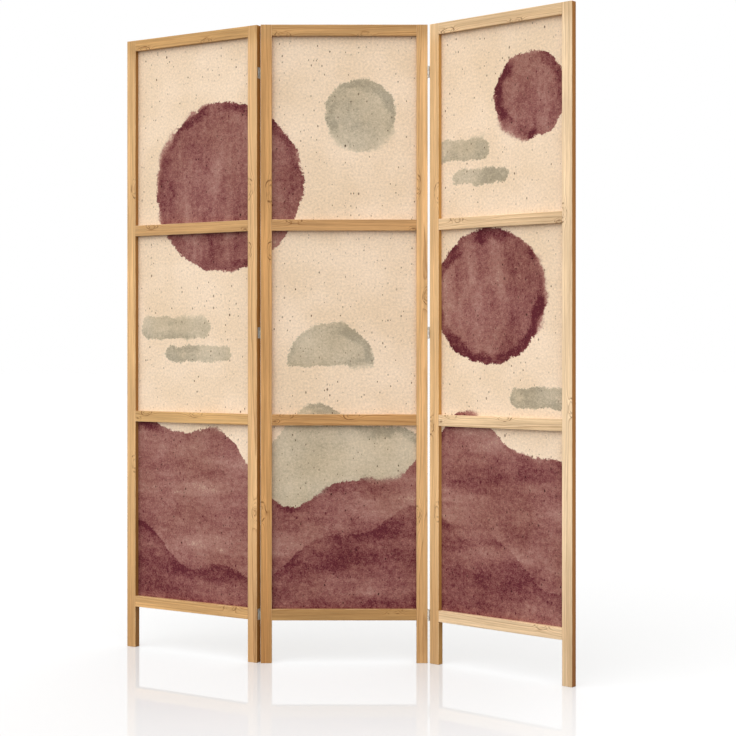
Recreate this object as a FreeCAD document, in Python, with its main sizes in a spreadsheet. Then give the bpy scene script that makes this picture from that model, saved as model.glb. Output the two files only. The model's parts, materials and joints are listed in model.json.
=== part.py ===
import FreeCAD, Part
import math
import os

import Sketcher
from FreeCAD import Placement, Rotation, Vector

# Three-panel folding screen, in millimetres.
# +X runs along the middle panel to the viewer's right, +Y away from the viewer and +Z up.
# The origin lies on the floor, under the centre of the box around the screen as it stands.

SIZES = {
    # Frame of one panel
    "panel_width": 450.0,
    "panel_height": 1720.0,
    "panel_thickness": 18.0,
    "stile_width": 30.0,
    "rail_height": 30.0,
    "leg_height": 115.0,
    "front_lip": 13.0,
    "rebate_width": 8.0,
    "edge_round": 0.8,
    # Canvas and the strips that hold it
    "canvas_thickness": 0.6,
    "canvas_margin": 0.5,
    "strip_clearance": 0.1,
    "strip_round": 0.5,
    # Dowels between rails and stiles
    "dowel_diameter": 6.0,
    "dowel_length": 30.0,
    "dowel_chamfer": 0.6,
    "dowel_spacing": 14.0,
    "dowel_clearance": 0.05,
    "dowel_end_gap": 0.5,
    # Brads through the strips
    "brad_diameter": 1.2,
    "brad_length": 13.0,
    "brad_point": 1.5,
    "brad_head_diameter": 2.4,
    "brad_head_height": 0.4,
    "brad_clearance": 0.05,
    "brad_end_gap": 0.3,
    # Hinges
    "hinge_length": 30.0,
    "knuckle_diameter": 5.2,
    "knuckle_gap": 0.3,
    "knuckle_clearance": 0.3,
    "face_clearance": 0.35,
    "leaf_width": 14.8,
    "leaf_thickness": 1.2,
    "leaf_gap": 1.6,
    "leaf_corner": 2.0,
    "sunk_edge_gap": 0.4,
    "sunk_pin_to_face": 1.3,
    "mortise_clearance": 0.15,
    "pin_diameter": 2.5,
    "pin_clearance": 0.05,
    "pin_head_diameter": 4.0,
    "pin_head_height": 0.8,
    "pin_head_chamfer": 0.3,
    "pin_end_gap": 0.1,
    "bottom_hinge_height": 130.0,
    "middle_hinge_height": 890.0,
    "top_hinge_drop": 128.0,
    # Screws in the leaves
    "screw_diameter": 2.5,
    "screw_length": 12.0,
    "screw_point": 3.0,
    "screw_head_diameter": 4.8,
    "screw_line": 9.1,
    "screw_spacing": 16.0,
    "screw_clearance": 0.05,
    "screw_end_gap": 0.3,
    "slot_length": 2.6,
    "slot_width": 0.6,
    "slot_depth": 0.7,
    # How far each fold stands from flat, in degrees
    "left_fold_angle": 31.0,
    "right_fold_angle": 40.0,
}

# Where the brads stand along each pane's side, as shares of its length
BRAD_SHARES = (1 / 6, 1 / 2, 5 / 6)
COUNTERSINK_ANGLE = 90


class Size:
    """A length from the sheet, or one worked out from such lengths, as a formula and as a number."""

    def __init__(self, formula, value):
        self.formula = formula
        self.value = value

    def __float__(self):
        return float(self.value)

    def __add__(self, other):
        return Size(f"({self.formula} + {formula_of(other)})", self.value + float(other))

    def __sub__(self, other):
        return Size(f"({self.formula} - {formula_of(other)})", self.value - float(other))

    def __mul__(self, factor):
        return Size(f"({self.formula} * {factor})", self.value * factor)

    def __truediv__(self, factor):
        return Size(f"({self.formula} / {factor})", self.value / factor)


def formula_of(length):
    return length.formula if isinstance(length, Size) else str(length)


doc = FreeCAD.newDocument("FoldingScreen")
sheet = doc.addObject("Spreadsheet::Sheet", "Sizes")
for row, (alias, number) in enumerate(SIZES.items(), start=1):
    sheet.set(f"A{row}", alias)
    sheet.set(f"B{row}", str(number))
    sheet.setAlias(f"B{row}", alias)
doc.recompute()


def size(alias):
    return Size(f"Sizes.{alias}", float(sheet.get(alias)))


panel_width = size("panel_width")
panel_height = size("panel_height")
thickness = size("panel_thickness")
stile_width = size("stile_width")
rail_height = size("rail_height")
leg_height = size("leg_height")
lip = size("front_lip")
rebate_width = size("rebate_width")
edge_round = size("edge_round")
canvas_thickness = size("canvas_thickness")
hinge_length = size("hinge_length")
leaf_thickness = size("leaf_thickness")

# Frame of one panel, in its own axes: x from its left edge, y from its front face, z from the floor
opening_width = panel_width - stile_width * 2
pane_height = (panel_height - leg_height - rail_height * 4) / 3
rebate_depth = thickness - lip
rail_bottoms = {
    "bottom_rail": leg_height,
    "lower_rail": leg_height + rail_height + pane_height,
    "upper_rail": leg_height + rail_height * 2 + pane_height * 2,
    "top_rail": panel_height - rail_height,
}
rebate_bottom = leg_height + rail_height - rebate_width
rebate_top = panel_height - rail_height + rebate_width
strip_depth = rebate_depth - canvas_thickness
strip_width = rebate_width - size("strip_clearance")
dowel_hole_diameter = size("dowel_diameter") + size("dowel_clearance") * 2
dowel_hole_depth = size("dowel_length") / 2 + size("dowel_end_gap")
dowel_line = lip / 2
brad_hole_diameter = size("brad_diameter") + size("brad_clearance") * 2
brad_hole_depth = size("brad_length") - strip_depth - canvas_thickness + size("brad_end_gap")

# Hinges: a leaf lies beside the pin, and the barrel has room to turn
leaf_inside = size("leaf_gap") / 2
leaf_outside = leaf_inside + leaf_thickness
barrel_room = size("knuckle_diameter") + size("face_clearance") * 2
pilot_diameter = size("screw_diameter") + size("screw_clearance") * 2
pilot_depth = size("screw_length") - leaf_thickness + size("screw_end_gap")
knuckle_length = (hinge_length - size("knuckle_gap") * 4) / 5
knuckle_step = knuckle_length + size("knuckle_gap")
hinge_heights = {
    "bottom": size("bottom_hinge_height"),
    "middle": size("middle_hinge_height"),
    "top": panel_height - size("top_hinge_drop"),
}
screw_offsets = (size("screw_spacing") / -2, size("screw_spacing") / 2)


class Fold:
    """How a fold's hinges sit: behind or in front of the panels, sunk into the stiles or on them.

    Sunk hinges bring the stiles almost edge to edge, with the barrel half in a groove of their arrises.
    """

    def __init__(self, name, pin_behind, sunk):
        self.name = name
        self.pin_behind = pin_behind
        self.sunk = sunk
        self.pin_to_stile = size("sunk_edge_gap") / 2 if sunk else leaf_outside
        self.pin_to_face = size("sunk_pin_to_face") if sunk else barrel_room / 2
        self.seat_depth = leaf_outside - self.pin_to_stile
        self.leaf_on_stile = size("leaf_width") - self.pin_to_face
        self.screw_inset = size("screw_line") - self.pin_to_face
        self.turn = Rotation(Vector(0, 0, 1), -float(size(f"{name}_fold_angle")))


left_fold = Fold("left", pin_behind=True, sunk=True)
right_fold = Fold("right", pin_behind=False, sunk=False)


def new_body(label):
    body = doc.addObject("PartDesign::Body", label)
    body.Label = label
    return body


def new_sketch(body, role, offset=None):
    """Starts a sketch on one of the body's own planes, moved along the plane's normal by offset."""
    sketch = body.newObject("Sketcher::SketchObject", f"{body.Label}_sketch")
    plane = next(item for item in body.Origin.OriginFeatures if item.Role == role)
    sketch.AttachmentSupport = (plane, [""])
    sketch.MapMode = "FlatFace"
    if offset is not None:
        sketch.setExpression("AttachmentOffset.Base.z", formula_of(offset))
    return sketch


def dimension(sketch, kind, where, length):
    index = sketch.addConstraint(Sketcher.Constraint(kind, *where, float(length)))
    sketch.setExpression(f"Constraints[{index}]", formula_of(length))


def locate(sketch, item, point, x, y):
    """Ties a point to the sketch's origin, or onto its axis where the distance is zero."""
    for kind, axis, distance in (("DistanceX", -2, x), ("DistanceY", -1, y)):
        if isinstance(distance, Size):
            dimension(sketch, kind, (-1, 1, item, point), distance)
        else:
            sketch.addConstraint(Sketcher.Constraint("PointOnObject", item, point, axis))


def draw_polygon(sketch, corners):
    """Draws a closed outline whose every corner is a pair of sizes, or 0 on an axis."""
    points = [Vector(float(x), float(y), 0) for x, y in corners]
    first = sketch.GeometryCount
    count = len(points)
    for i, point in enumerate(points):
        sketch.addGeometry(Part.LineSegment(point, points[(i + 1) % count]))
    for i in range(count):
        sketch.addConstraint(Sketcher.Constraint("Coincident", first + i, 2, first + (i + 1) % count, 1))
    for i, (x, y) in enumerate(corners):
        locate(sketch, first + i, 1, x, y)


def draw_rectangle(sketch, left, bottom, right, top):
    draw_polygon(sketch, [(left, bottom), (right, bottom), (right, top), (left, top)])


def draw_circle(sketch, x, y, diameter):
    centre = Vector(float(x), float(y), 0)
    item = sketch.addGeometry(Part.Circle(centre, Vector(0, 0, 1), float(diameter) / 2))
    locate(sketch, item, 3, x, y)
    dimension(sketch, "Diameter", (item,), diameter)


def pad(body, sketch, length):
    feature = body.newObject("PartDesign::Pad", f"{body.Label}_pad")
    feature.Profile = sketch
    feature.setExpression("Length", formula_of(length))
    doc.recompute()
    return feature


def pocket(body, sketch, depth, along_normal):
    """Cuts the sketch's outline to a depth, and makes sure that something was cut."""
    before = body.Shape.Volume
    feature = body.newObject("PartDesign::Pocket", f"{body.Label}_pocket")
    feature.Profile = sketch
    feature.Reversed = along_normal
    feature.setExpression("Length", formula_of(depth))
    doc.recompute()
    if body.Shape.Volume >= before:
        raise RuntimeError(f"{body.Label}: {feature.Name} cuts nothing")
    return feature


def revolve(body, sketch):
    """Turns the sketch's outline about its own upright axis."""
    feature = body.newObject("PartDesign::Revolution", f"{body.Label}_revolution")
    feature.Profile = sketch
    feature.ReferenceAxis = (sketch, ["V_Axis"])
    feature.Angle = 360
    doc.recompute()
    return feature


def fillet(body, base, radius, wanted):
    """Rounds those edges of the base feature that the wanted test picks."""
    names = [f"Edge{i}" for i, edge in enumerate(base.Shape.Edges, start=1) if wanted(edge)]
    feature = body.newObject("PartDesign::Fillet", f"{body.Label}_fillet")
    feature.Base = (base, names)
    feature.setExpression("Radius", formula_of(radius))
    doc.recompute()
    return feature


def any_edge(edge):
    return True


def runs_along(axis):
    def test(edge):
        return abs(edge.tangentAt(edge.FirstParameter).dot(axis)) > 0.5
    return test


def compound(label, shapes, placement):
    """Keeps a set of equal, separate pieces as one object."""
    group = doc.addObject("Part::Feature", label)
    group.Label = label
    group.Shape = Part.makeCompound(shapes)
    group.Placement = placement
    return group


def placed(shape, position, rotation):
    copy = shape.copy()
    copy.Placement = Placement(position, rotation)
    return copy


def point(x, y, z):
    return Vector(float(x), float(y), float(z))


# Fasteners, each modelled once with its axis on +Z and its head or end at z = 0

dowel = new_body("dowel")
dowel_radius = size("dowel_diameter") / 2
dowel_tip = dowel_radius - size("dowel_chamfer")
sketch = new_sketch(dowel, "XZ_Plane")
draw_polygon(sketch, [
    (0, 0),
    (dowel_tip, 0),
    (dowel_radius, size("dowel_chamfer")),
    (dowel_radius, size("dowel_length") - size("dowel_chamfer")),
    (dowel_tip, size("dowel_length")),
    (0, size("dowel_length")),
])
revolve(dowel, sketch)

brad = new_body("brad")
brad_head = size("brad_head_height")
sketch = new_sketch(brad, "XZ_Plane")
draw_polygon(sketch, [
    (0, 0),
    (size("brad_head_diameter") / 2, 0),
    (size("brad_head_diameter") / 2, brad_head),
    (size("brad_diameter") / 2, brad_head),
    (size("brad_diameter") / 2, brad_head + size("brad_length") - size("brad_point")),
    (0, brad_head + size("brad_length")),
])
revolve(brad, sketch)

screw = new_body("screw")
screw_head_radius = size("screw_head_diameter") / 2
screw_radius = size("screw_diameter") / 2
sketch = new_sketch(screw, "XZ_Plane")
draw_polygon(sketch, [
    (0, 0),
    (screw_head_radius, 0),
    (screw_radius, screw_head_radius - screw_radius),
    (screw_radius, size("screw_length") - size("screw_point")),
    (0, size("screw_length")),
])
revolve(screw, sketch)
for slot_x, slot_y in (("slot_length", "slot_width"), ("slot_width", "slot_length")):
    sketch = new_sketch(screw, "XY_Plane")
    half_x = size(slot_x) / 2
    half_y = size(slot_y) / 2
    draw_rectangle(sketch, half_x * -1, half_y * -1, half_x, half_y)
    pocket(screw, sketch, size("slot_depth"), along_normal=True)

pin = new_body("pin")
pin_radius = size("pin_diameter") / 2
pin_head_radius = size("pin_head_diameter") / 2
pin_head = size("pin_head_height")
pin_chamfer = size("pin_head_chamfer")
far_head = pin_head + hinge_length + size("pin_end_gap") * 2
pin_total = far_head + pin_head
sketch = new_sketch(pin, "XZ_Plane")
draw_polygon(sketch, [
    (0, 0),
    (pin_head_radius - pin_chamfer, 0),
    (pin_head_radius, pin_chamfer),
    (pin_head_radius, pin_head),
    (pin_radius, pin_head),
    (pin_radius, far_head),
    (pin_head_radius, far_head),
    (pin_head_radius, pin_total - pin_chamfer),
    (pin_head_radius - pin_chamfer, pin_total),
    (0, pin_total),
])
revolve(pin, sketch)

# How the panels stand: each outer panel turns about its pin, away from flat

# Pins in the middle panel's own axes, and in the axes of the panel that turns on each
left_pin_depth = thickness + left_fold.pin_to_face
right_pin_depth = right_fold.pin_to_face * -1
left_pin = point(left_fold.pin_to_stile * -1, left_pin_depth, 0)
left_pin_in_panel = point(panel_width + left_fold.pin_to_stile, left_pin_depth, 0)
right_pin = point(panel_width + right_fold.pin_to_stile, right_pin_depth, 0)
right_pin_in_panel = point(right_fold.pin_to_stile * -1, right_pin_depth, 0)

left_from_panel = Placement(
    left_pin - left_fold.turn.multVec(left_pin_in_panel), left_fold.turn,
)
right_from_panel = Placement(
    right_pin - right_fold.turn.multVec(right_pin_in_panel), right_fold.turn,
)

# The screen's corners in plan are the outer panels' outer edges
left_corners = [left_from_panel.multVec(point(0, y, 0)) for y in (0, thickness)]
right_corners = [right_from_panel.multVec(point(panel_width, y, 0)) for y in (0, thickness)]
corners = left_corners + right_corners
centre = Vector(
    (min(c.x for c in corners) + max(c.x for c in corners)) / 2,
    (min(c.y for c in corners) + max(c.y for c in corners)) / 2,
    0,
)
to_origin = Placement(centre * -1, Rotation())
panel_placements = {
    "left_panel": to_origin.multiply(left_from_panel),
    "middle_panel": to_origin,
    "right_panel": to_origin.multiply(right_from_panel),
}
left_pin_base = left_pin - centre
right_pin_base = right_pin - centre

pieces = []


def put(piece, panel, x=0, y=0, z=0):
    """Places a piece by its own corner's place in the panel, and lists it for writing."""
    piece.Placement = panel_placements[panel].multiply(Placement(point(x, y, z), Rotation()))
    pieces.append(piece)


def dowel_heights(rail):
    middle = rail_bottoms[rail] + rail_height / 2
    return (middle - size("dowel_spacing") / 2, middle + size("dowel_spacing") / 2)


def brad_heights():
    """Gives the height of each brad beside the panes, from the floor."""
    heights = []
    for rail in ("bottom_rail", "lower_rail", "upper_rail"):
        pane_bottom = rail_bottoms[rail] + rail_height
        heights += [pane_bottom + pane_height * share for share in BRAD_SHARES]
    return heights


brad_columns = [opening_width * share for share in BRAD_SHARES]


def make_stile(panel, name, x, opening_on_right, fold):
    """Makes an upright: a rounded board with a rebate, dowel holes and, on a fold, seats for hinges."""
    body = new_body(f"{panel}_{name}")
    sketch = new_sketch(body, "XY_Plane")
    draw_rectangle(sketch, 0, 0, stile_width, thickness)
    board = pad(body, sketch, panel_height)
    fillet(body, board, edge_round, any_edge)

    rebate_left = stile_width - rebate_width if opening_on_right else 0
    rebate_right = stile_width if opening_on_right else rebate_width
    sketch = new_sketch(body, "XZ_Plane", thickness * -1)
    draw_rectangle(sketch, rebate_left, rebate_bottom, rebate_right, rebate_top)
    pocket(body, sketch, rebate_depth, along_normal=True)

    brad_x = stile_width - strip_width / 2 if opening_on_right else strip_width / 2
    sketch = new_sketch(body, "XZ_Plane", lip * -1)
    for z in brad_heights():
        draw_circle(sketch, brad_x, z, brad_hole_diameter)
    pocket(body, sketch, brad_hole_depth, along_normal=True)

    sketch = new_sketch(body, "YZ_Plane", stile_width if opening_on_right else None)
    for rail in rail_bottoms:
        for z in dowel_heights(rail):
            draw_circle(sketch, dowel_line, z, dowel_hole_diameter)
    pocket(body, sketch, dowel_hole_depth, along_normal=not opening_on_right)

    if fold is not None:
        cut_hinge_seats(body, fold, on_right=not opening_on_right)
    put(body, panel, x=x)


def cut_hinge_seats(body, fold, on_right):
    """Cuts pilot holes for the hinge screws and, where the hinges are sunk, mortises and barrel grooves."""
    clearance = size("mortise_clearance")
    seat_front = thickness - fold.leaf_on_stile - clearance if fold.pin_behind else 0
    seat_back = thickness if fold.pin_behind else fold.leaf_on_stile + clearance
    screw_y = thickness - fold.screw_inset if fold.pin_behind else fold.screw_inset
    edge = stile_width if on_right else None
    pilot_total = pilot_depth
    if fold.sunk:
        pilot_total = pilot_depth + fold.seat_depth
        sketch = new_sketch(body, "YZ_Plane", edge)
        for z in hinge_heights.values():
            bottom = z - hinge_length / 2 - clearance
            top = z + hinge_length / 2 + clearance
            draw_rectangle(sketch, seat_front, bottom, seat_back, top)
        pocket(body, sketch, fold.seat_depth, along_normal=not on_right)
        barrel_x = stile_width + fold.pin_to_stile if on_right else fold.pin_to_stile * -1
        barrel_y = thickness + fold.pin_to_face if fold.pin_behind else fold.pin_to_face * -1
        for z in hinge_heights.values():
            sketch = new_sketch(body, "XY_Plane", z - pin_total / 2 - clearance)
            draw_circle(sketch, barrel_x, barrel_y, barrel_room)
            pocket(body, sketch, pin_total + clearance * 2, along_normal=True)
    sketch = new_sketch(body, "YZ_Plane", edge)
    for z in hinge_heights.values():
        for offset in screw_offsets:
            draw_circle(sketch, screw_y, z + offset, pilot_diameter)
    pocket(body, sketch, pilot_total, along_normal=not on_right)


def cut_rail_ends(body, z_of_rail, rail):
    """Drills both ends of a rail for its dowels."""
    for offset, inwards in ((None, True), (opening_width, False)):
        sketch = new_sketch(body, "YZ_Plane", offset)
        for z in dowel_heights(rail):
            draw_circle(sketch, dowel_line, z - z_of_rail, dowel_hole_diameter)
        pocket(body, sketch, dowel_hole_depth, along_normal=inwards)


def make_edge_rail(panel, rail):
    """Makes the top or bottom rail: a rounded board with a rebate on the side of the panes."""
    body = new_body(f"{panel}_{rail}")
    sketch = new_sketch(body, "YZ_Plane")
    draw_rectangle(sketch, 0, 0, thickness, rail_height)
    board = pad(body, sketch, opening_width)
    fillet(body, board, edge_round, runs_along(Vector(1, 0, 0)))

    at_top = rail == "top_rail"
    rebate_low = 0 if at_top else rail_height - rebate_width
    rebate_high = rebate_width if at_top else rail_height
    sketch = new_sketch(body, "XZ_Plane", thickness * -1)
    draw_rectangle(sketch, 0, rebate_low, opening_width, rebate_high)
    pocket(body, sketch, rebate_depth, along_normal=True)

    brad_z = strip_width / 2 if at_top else rail_height - strip_width / 2
    sketch = new_sketch(body, "XZ_Plane", lip * -1)
    for x in brad_columns:
        draw_circle(sketch, x, brad_z, brad_hole_diameter)
    pocket(body, sketch, brad_hole_depth, along_normal=True)

    cut_rail_ends(body, rail_bottoms[rail], rail)
    put(body, panel, x=stile_width, z=rail_bottoms[rail])


def make_cross_rail(panel, rail):
    """Makes a rail that crosses in front of the canvas."""
    body = new_body(f"{panel}_{rail}")
    sketch = new_sketch(body, "YZ_Plane")
    draw_rectangle(sketch, 0, 0, lip, rail_height)
    board = pad(body, sketch, opening_width)
    fillet(body, board, edge_round, runs_along(Vector(1, 0, 0)))
    cut_rail_ends(body, rail_bottoms[rail], rail)
    put(body, panel, x=stile_width, z=rail_bottoms[rail])


def make_canvas(panel):
    """Makes the flat sheet that fills the rebate, with holes for the brads."""
    margin = size("canvas_margin")
    left = stile_width - rebate_width + margin
    bottom = rebate_bottom + margin
    right = panel_width - left
    body = new_body(f"{panel}_canvas")
    sketch = new_sketch(body, "XZ_Plane")
    draw_rectangle(sketch, 0, 0, right - left, rebate_top - margin - bottom)
    feature = pad(body, sketch, canvas_thickness)
    feature.Reversed = True

    strip_x = stile_width - strip_width / 2 - left
    low_z = leg_height + rail_height - strip_width / 2 - bottom
    high_z = panel_height - rail_height + strip_width / 2 - bottom
    sketch = new_sketch(body, "XZ_Plane")
    for z in brad_heights():
        draw_circle(sketch, strip_x, z - bottom, brad_hole_diameter)
        draw_circle(sketch, right - left - strip_x, z - bottom, brad_hole_diameter)
    for x in brad_columns:
        draw_circle(sketch, stile_width + x - left, low_z, brad_hole_diameter)
        draw_circle(sketch, stile_width + x - left, high_z, brad_hole_diameter)
    pocket(body, sketch, canvas_thickness, along_normal=False)
    put(body, panel, x=left, y=lip, z=bottom)


def make_strip(panel, name, corner, end, holes):
    """Makes a retaining strip between two corners of the panel's back, drilled for its brads."""
    body = new_body(f"{panel}_{name}")
    width = end[0] - corner[0]
    height = end[1] - corner[1]
    sketch = new_sketch(body, "XZ_Plane")
    draw_rectangle(sketch, 0, 0, width, height)
    feature = pad(body, sketch, strip_depth)
    feature.Reversed = True
    doc.recompute()
    along = Vector(0, 0, 1) if float(height) > float(width) else Vector(1, 0, 0)
    fillet(body, feature, size("strip_round"), runs_along(along))
    sketch = new_sketch(body, "XZ_Plane")
    for x, z in holes:
        draw_circle(sketch, x - corner[0], z - corner[1], brad_hole_diameter)
    pocket(body, sketch, strip_depth, along_normal=False)
    put(body, panel, x=corner[0], y=lip + canvas_thickness, z=corner[1])


def make_strips(panel, left_name, right_name):
    """Makes the four strips of a panel and the brads that hold them."""
    inner_left = stile_width - strip_width
    inner_right = panel_width - stile_width
    clearance = size("strip_clearance")
    strip_bottom = rebate_bottom + clearance
    strip_top = rebate_top - clearance
    opening_bottom = leg_height + rail_height
    opening_top = panel_height - rail_height
    left_holes = [(inner_left + strip_width / 2, z) for z in brad_heights()]
    right_holes = [(inner_right + strip_width / 2, z) for z in brad_heights()]
    low_holes = [(stile_width + x, opening_bottom - strip_width / 2) for x in brad_columns]
    high_holes = [(stile_width + x, opening_top + strip_width / 2) for x in brad_columns]

    make_strip(panel, left_name, (inner_left, strip_bottom), (stile_width, strip_top), left_holes)
    make_strip(
        panel, right_name,
        (inner_right, strip_bottom), (inner_right + strip_width, strip_top), right_holes,
    )
    make_strip(
        panel, "bottom_strip",
        (stile_width + clearance, strip_bottom), (inner_right - clearance, opening_bottom), low_holes,
    )
    make_strip(
        panel, "top_strip",
        (stile_width + clearance, opening_top), (inner_right - clearance, strip_top), high_holes,
    )
    driven_forward = Rotation(Vector(1, 0, 0), 90)
    brads = [
        placed(brad.Shape, point(x, thickness + brad_head, z), driven_forward)
        for x, z in left_holes + right_holes + low_holes + high_holes
    ]
    put(compound(f"{panel}_brads", brads, Placement()), panel)


def make_dowels(panel):
    """Makes the dowels in all joints of a panel, each half in the stile and half in the rail."""
    along_rail = Rotation(Vector(0, 1, 0), 90)
    starts = (
        stile_width - size("dowel_length") / 2,
        panel_width - stile_width - size("dowel_length") / 2,
    )
    dowels = [
        placed(dowel.Shape, point(x, dowel_line, z), along_rail)
        for rail in rail_bottoms
        for z in dowel_heights(rail)
        for x in starts
    ]
    put(compound(f"{panel}_dowels", dowels, Placement()), panel)


def make_panel(panel, left_name, right_name, fold_on_left, fold_on_right):
    right_x = panel_width - stile_width
    make_stile(panel, f"{left_name}_stile", 0, opening_on_right=True, fold=fold_on_left)
    make_stile(panel, f"{right_name}_stile", right_x, opening_on_right=False, fold=fold_on_right)
    make_edge_rail(panel, "top_rail")
    make_cross_rail(panel, "upper_rail")
    make_cross_rail(panel, "lower_rail")
    make_edge_rail(panel, "bottom_rail")
    make_canvas(panel)
    make_strips(panel, f"{left_name}_strip", f"{right_name}_strip")
    make_dowels(panel)


def make_leaf(label, knuckles):
    """Makes a hinge leaf: x away from the pin's axis, y into the panel's thickness, z along the pin.

    Of the hinge's five knuckles it has those listed, and it is notched for the others.
    """
    body = new_body(label)
    sketch = new_sketch(body, "YZ_Plane", leaf_inside)
    draw_rectangle(sketch, 0, 0, size("leaf_width"), hinge_length)
    plate = pad(body, sketch, leaf_thickness)

    far_edge = float(size("leaf_width"))

    def far_corner(edge):
        upright = runs_along(Vector(1, 0, 0))(edge)
        return upright and math.isclose(edge.CenterOfMass.y, far_edge)

    fillet(body, plate, size("leaf_corner"), far_corner)

    notch_depth = size("knuckle_diameter") / 2 + size("knuckle_clearance")
    gap = size("knuckle_gap")
    sketch = new_sketch(body, "YZ_Plane", leaf_inside)
    for i in range(5):
        if i not in knuckles:
            bottom = knuckle_step * i - gap if i > 0 else 0
            top = knuckle_step * i + knuckle_length + gap if i < 4 else hinge_length
            draw_rectangle(sketch, 0, bottom, notch_depth, top)
    pocket(body, sketch, leaf_thickness, along_normal=True)

    for i in knuckles:
        sketch = new_sketch(body, "XY_Plane", knuckle_step * i)
        draw_circle(sketch, 0, 0, size("knuckle_diameter"))
        pad(body, sketch, knuckle_length)
    sketch = new_sketch(body, "XY_Plane")
    draw_circle(sketch, 0, 0, size("pin_diameter") + size("pin_clearance") * 2)
    pocket(body, sketch, hinge_length, along_normal=True)

    sketch = new_sketch(body, "YZ_Plane", leaf_inside)
    for offset in screw_offsets:
        draw_circle(sketch, size("screw_line"), hinge_length / 2 + offset, pilot_diameter)
    doc.recompute()
    before = body.Shape.Volume
    hole = body.newObject("PartDesign::Hole", f"{label}_holes")
    hole.Profile = sketch
    doc.recompute()
    hole.Reversed = True
    hole.DepthType = "ThroughAll"
    hole.HoleCutType = "Countersink"
    hole.HoleCutCustomValues = True
    hole.HoleCutCountersinkAngle = COUNTERSINK_ANGLE
    hole.setExpression("Diameter", formula_of(pilot_diameter))
    head = size("screw_head_diameter") + size("screw_clearance") * 2
    hole.setExpression("HoleCutDiameter", formula_of(head))
    doc.recompute()
    if body.Shape.Volume >= before:
        raise RuntimeError(f"{label}: the screw holes cut nothing")
    return body


def make_hinges(fold, base):
    """Makes the three hinges of a fold, with its pins standing on base.

    Both leaves of a hinge reach from the pin into the panels' thickness. The fixed leaf is on the
    middle panel, and the moving leaf, which is the other way up, turns with the outer panel.
    """
    if fold.pin_behind:
        fixed_turn = Rotation(Vector(1, 0, 0), 180)
        moving_turn = fold.turn.multiply(Rotation(Vector(0, 0, 1), 180))
    else:
        fixed_turn = Rotation(Vector(0, 1, 0), 180)
        moving_turn = fold.turn
    half = float(hinge_length) / 2
    into_stile = Rotation(Vector(0, 1, 0), 90)
    fixed_screws = []
    moving_screws = []
    pins = []
    for level, height in hinge_heights.items():
        middle = base + point(0, 0, height)
        fixed = make_leaf(f"{fold.name}_{level}_hinge_fixed_leaf", (0, 2, 4))
        fixed.Placement = Placement(middle + Vector(0, 0, half), fixed_turn)
        moving = make_leaf(f"{fold.name}_{level}_hinge_moving_leaf", (1, 3))
        moving.Placement = Placement(middle - Vector(0, 0, half), moving_turn)
        pieces.extend((fixed, moving))
        for offset in screw_offsets:
            seat = point(leaf_inside, size("screw_line"), hinge_length / 2 + offset)
            for leaf, screws in ((fixed, fixed_screws), (moving, moving_screws)):
                at = leaf.Placement.multiply(Placement(seat, into_stile))
                screws.append(placed(screw.Shape, at.Base, at.Rotation))
        pins.append(placed(pin.Shape, middle - point(0, 0, pin_total / 2), Rotation()))
    pieces.append(compound(f"{fold.name}_hinge_pins", pins, Placement()))
    pieces.append(compound(f"{fold.name}_hinge_fixed_screws", fixed_screws, Placement()))
    pieces.append(compound(f"{fold.name}_hinge_moving_screws", moving_screws, Placement()))


make_panel("left_panel", "outer", "inner", None, left_fold)
make_panel("middle_panel", "left", "right", left_fold, right_fold)
make_panel("right_panel", "inner", "outer", right_fold, None)
make_hinges(left_fold, left_pin_base)
make_hinges(right_fold, right_pin_base)

doc.recompute()
for item in doc.Objects:
    if "Invalid" in item.State or "Error" in item.State:
        raise RuntimeError(f"{item.Label}: {item.State}")
os.makedirs("parts", exist_ok=True)
for piece in pieces:
    if piece.Shape.isNull() or not piece.Shape.isValid():
        raise RuntimeError(f"{piece.Label} has no valid shape")
    piece.Shape.exportStep(f"parts/{piece.Label}.step")
print(f"{len(pieces)} nodes written")
print(f"left pin at {left_pin_base.x:.3f}, {left_pin_base.y:.3f}")
print(f"right pin at {right_pin_base.x:.3f}, {right_pin_base.y:.3f}")
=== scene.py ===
"""A folding screen of three pine frames with a printed canvas in each, hinged to fold like an accordion."""

import json
import math

import bmesh
import bpy
from mathutils import Matrix, Vector, noise


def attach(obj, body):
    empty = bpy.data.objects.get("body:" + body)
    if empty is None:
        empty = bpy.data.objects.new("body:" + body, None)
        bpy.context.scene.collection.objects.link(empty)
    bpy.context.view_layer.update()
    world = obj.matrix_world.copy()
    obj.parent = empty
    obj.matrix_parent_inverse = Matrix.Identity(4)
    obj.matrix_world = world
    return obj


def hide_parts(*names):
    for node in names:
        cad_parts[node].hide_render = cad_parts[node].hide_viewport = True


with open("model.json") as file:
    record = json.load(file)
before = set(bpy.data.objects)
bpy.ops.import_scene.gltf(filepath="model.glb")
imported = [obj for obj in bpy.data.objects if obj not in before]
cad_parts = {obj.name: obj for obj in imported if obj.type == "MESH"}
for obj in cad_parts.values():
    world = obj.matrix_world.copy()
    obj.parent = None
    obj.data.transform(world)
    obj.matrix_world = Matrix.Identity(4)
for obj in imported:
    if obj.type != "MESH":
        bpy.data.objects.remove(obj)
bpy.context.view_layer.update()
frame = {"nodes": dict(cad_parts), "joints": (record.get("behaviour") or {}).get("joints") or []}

# The panels. Each is turned from the row's line, in degrees, and hangs on a fold's pin, whose place is given
# in the panel's own measure, from its front lower left corner. The left fold's pin stands behind the back
# faces, and the right fold's in front of the front faces.
PANEL_WIDTH = 0.450
PANEL_THICKNESS = 0.018
EDGE_TO_BACK_PIN = 0.0002
BACK_PIN_DEPTH = PANEL_THICKNESS + 0.0013
EDGE_TO_FRONT_PIN = 0.0020
FRONT_PIN_DEPTH = -0.00295
FOLD_PINS = {fold["name"]: Vector(fold["pos_m"]) for fold in frame["joints"]}
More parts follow.
